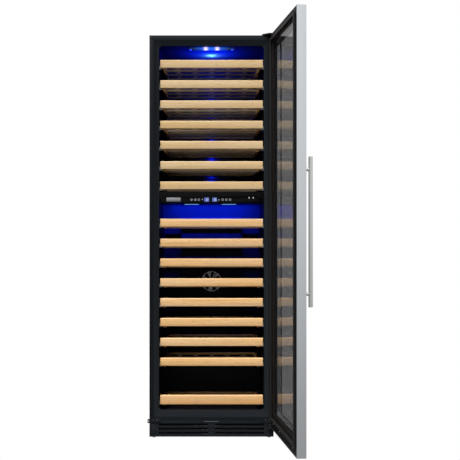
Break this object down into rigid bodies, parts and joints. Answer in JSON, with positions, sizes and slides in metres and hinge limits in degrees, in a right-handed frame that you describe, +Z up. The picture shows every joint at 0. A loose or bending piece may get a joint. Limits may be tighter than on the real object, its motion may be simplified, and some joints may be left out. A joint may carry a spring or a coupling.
{
  "type": "wine cooler",
  "caption": "Tall dual-zone wine cooler: black case, steel-framed glass door that swings open, pull-out wooden shelves and a control panel between the zones.",
  "frame": {"origin": "on the floor, under the centre of the case's footprint; the feet stand on z = 0", "axes": "+X to the right as one faces the cooler, +Y from the door towards the back, +Z up"},
  "size_m": [0.7313, 1.1971, 1.9375],
  "materials": {
    "case_black": "fine satin powder coat",
    "zinc_sheet": "zinc-plated sheet",
    "foam": "cast polyurethane foam",
    "liner_black": "matt moulded plastic",
    "panel_gloss": "glossy black face",
    "display_blue": "lit window",
    "lamp_white": "diffuser",
    "aluminium": "rolled sheet",
    "grille_black": "moulded plastic",
    "compressor_black": "gloss paint",
    "condenser_metal": "painted tube and fin",
    "door_steel": "fine vertical brushing",
    "tinted_glass": "grey low-emissivity glass",
    "spacer_alloy": "anodised",
    "gasket_rubber": "soft magnetic gasket",
    "handle_steel": "satin stainless tube",
    "fan_plastic": "moulded plastic",
    "foot_black": "moulded foot with a steel screw",
    "key_black": "glossy key with a printed ring",
    "beech_wood": "clear-lacquered beech"
  },
  "bodies": {
    "cabinet": {"outer_case": "case_black", "back_panel": "case_black", "base_plate": "zinc_sheet", "insulation_foam": "foam", "upper_liner": "liner_black", "lower_liner": "liner_black", "front_frame": "case_black", "control_panel": "panel_gloss", "display_windows": "display_blue", "interior_lamps": "lamp_white", "air_ducts": "liner_black", "evaporators": "aluminium", "slide_rails": "zinc_sheet", "toe_kick_grille": "grille_black", "top_hinge": "zinc_sheet", "bottom_hinge": "zinc_sheet", "cabinet_screws": "zinc_sheet", "niche_lugs": "case_black", "compressor": "compressor_black", "condenser": "condenser_metal", "drip_tray": "liner_black", "power_inlet": "grille_black", "compartment_cover": "zinc_sheet"},
    "door": {"door_frame": "door_steel", "door_backframe": "liner_black", "outer_glass": "tinted_glass", "inner_glass": "tinted_glass", "glass_spacer": "spacer_alloy", "door_gasket": "gasket_rubber", "handle_bar": "handle_steel", "handle_posts": "handle_steel"},
    "upper_fan": {"upper_fan": "fan_plastic"},
    "lower_fan": {"lower_fan": "fan_plastic"},
    "condenser_fan": {"condenser_fan": "fan_plastic"},
    "foot_fl": {"foot_fl": "foot_black"},
    "foot_fr": {"foot_fr": "foot_black"},
    "foot_rl": {"foot_rl": "foot_black"},
    "foot_rr": {"foot_rr": "foot_black"},
    "key_1": {"key_1": "key_black"},
    "key_2": {"key_2": "key_black"},
    "key_3": {"key_3": "key_black"},
    "key_4": {"key_4": "key_black"},
    "key_5": {"key_5": "key_black"},
    "key_6": {"key_6": "key_black"},
    "shelf_01": {"shelf_01": "beech_wood"},
    "shelf_02": {"shelf_02": "beech_wood"},
    "shelf_03": {"shelf_03": "beech_wood"},
    "shelf_04": {"shelf_04": "beech_wood"},
    "shelf_05": {"shelf_05": "beech_wood"},
    "shelf_06": {"shelf_06": "beech_wood"},
    "shelf_07": {"shelf_07": "beech_wood"},
    "shelf_08": {"shelf_08": "beech_wood"},
    "shelf_09": {"shelf_09": "beech_wood"},
    "shelf_10": {"shelf_10": "beech_wood"},
    "shelf_11": {"shelf_11": "beech_wood"},
    "shelf_12": {"shelf_12": "beech_wood"},
    "shelf_13": {"shelf_13": "beech_wood"},
    "shelf_14": {"shelf_14": "beech_wood"},
    "shelf_15": {"shelf_15": "beech_wood"},
    "shelf_16": {"shelf_16": "beech_wood"}
  },
  "joints": [
    {"name": "door_hinge", "type": "hinge", "parent": "cabinet", "child": "door", "pos_m": [0.291, -0.313, 0], "axis": [0, 0, 1], "range_deg": [-96.7, 18.3]},
    {"name": "shelf_01_slide", "type": "slide", "parent": "cabinet", "child": "shelf_01", "axis": [0, -1, 0], "range_m": [0, 0.3]},
    {"name": "shelf_02_slide", "type": "slide", "parent": "cabinet", "child": "shelf_02", "axis": [0, -1, 0], "range_m": [0, 0.3]},
    {"name": "shelf_03_slide", "type": "slide", "parent": "cabinet", "child": "shelf_03", "axis": [0, -1, 0], "range_m": [0, 0.3]},
    {"name": "shelf_04_slide", "type": "slide", "parent": "cabinet", "child": "shelf_04", "axis": [0, -1, 0], "range_m": [0, 0.3]},
    {"name": "shelf_05_slide", "type": "slide", "parent": "cabinet", "child": "shelf_05", "axis": [0, -1, 0], "range_m": [0, 0.3]},
    {"name": "shelf_06_slide", "type": "slide", "parent": "cabinet", "child": "shelf_06", "axis": [0, -1, 0], "range_m": [0, 0.3]},
    {"name": "shelf_07_slide", "type": "slide", "parent": "cabinet", "child": "shelf_07", "axis": [0, -1, 0], "range_m": [0, 0.3]},
    {"name": "shelf_08_slide", "type": "slide", "parent": "cabinet", "child": "shelf_08", "axis": [0, -1, 0], "range_m": [0, 0.3]},
    {"name": "shelf_09_slide", "type": "slide", "parent": "cabinet", "child": "shelf_09", "axis": [0, -1, 0], "range_m": [0, 0.3]},
    {"name": "shelf_10_slide", "type": "slide", "parent": "cabinet", "child": "shelf_10", "axis": [0, -1, 0], "range_m": [0, 0.3]},
    {"name": "shelf_11_slide", "type": "slide", "parent": "cabinet", "child": "shelf_11", "axis": [0, -1, 0], "range_m": [0, 0.3]},
    {"name": "shelf_12_slide", "type": "slide", "parent": "cabinet", "child": "shelf_12", "axis": [0, -1, 0], "range_m": [0, 0.3]},
    {"name": "shelf_13_slide", "type": "slide", "parent": "cabinet", "child": "shelf_13", "axis": [0, -1, 0], "range_m": [0, 0.3]},
    {"name": "shelf_14_slide", "type": "slide", "parent": "cabinet", "child": "shelf_14", "axis": [0, -1, 0], "range_m": [0, 0.3]},
    {"name": "shelf_15_slide", "type": "slide", "parent": "cabinet", "child": "shelf_15", "axis": [0, -1, 0], "range_m": [0, 0.3]},
    {"name": "shelf_16_slide", "type": "slide", "parent": "cabinet", "child": "shelf_16", "axis": [0, -1, 0], "range_m": [0, 0.2]},
    {"name": "key_1_press", "type": "slide", "parent": "cabinet", "child": "key_1", "axis": [0, 1, 0], "range_m": [0, 0.001], "stiffness_N_per_m": 400},
    {"name": "key_2_press", "type": "slide", "parent": "cabinet", "child": "key_2", "axis": [0, 1, 0], "range_m": [0, 0.001], "stiffness_N_per_m": 400},
    {"name": "key_3_press", "type": "slide", "parent": "cabinet", "child": "key_3", "axis": [0, 1, 0], "range_m": [0, 0.001], "stiffness_N_per_m": 400},
    {"name": "key_4_press", "type": "slide", "parent": "cabinet", "child": "key_4", "axis": [0, 1, 0], "range_m": [0, 0.001], "stiffness_N_per_m": 400},
    {"name": "key_5_press", "type": "slide", "parent": "cabinet", "child": "key_5", "axis": [0, 1, 0], "range_m": [0, 0.001], "stiffness_N_per_m": 400},
    {"name": "key_6_press", "type": "slide", "parent": "cabinet", "child": "key_6", "axis": [0, 1, 0], "range_m": [0, 0.001], "stiffness_N_per_m": 400},
    {"name": "upper_fan_spin", "type": "hinge", "parent": "cabinet", "child": "upper_fan", "pos_m": [0, 0.194, 1.531], "axis": [0, 1, 0], "continuous": true},
    {"name": "lower_fan_spin", "type": "hinge", "parent": "cabinet", "child": "lower_fan", "pos_m": [0, 0.194, 0.725], "axis": [0, 1, 0], "continuous": true},
    {"name": "condenser_fan_spin", "type": "hinge", "parent": "cabinet", "child": "condenser_fan", "pos_m": [-0.1645, 0.137, 0.089], "axis": [0, 1, 0], "continuous": true},
    {"name": "foot_fl_adjust", "type": "slide", "parent": "cabinet", "child": "foot_fl", "axis": [0, 0, -1], "range_m": [0, 0.015]},
    {"name": "foot_fr_adjust", "type": "slide", "parent": "cabinet", "child": "foot_fr", "axis": [0, 0, -1], "range_m": [0, 0.015]},
    {"name": "foot_rl_adjust", "type": "slide", "parent": "cabinet", "child": "foot_rl", "axis": [0, 0, -1], "range_m": [0, 0.015]},
    {"name": "foot_rr_adjust", "type": "slide", "parent": "cabinet", "child": "foot_rr", "axis": [0, 0, -1], "range_m": [0, 0.015]}
  ]
}
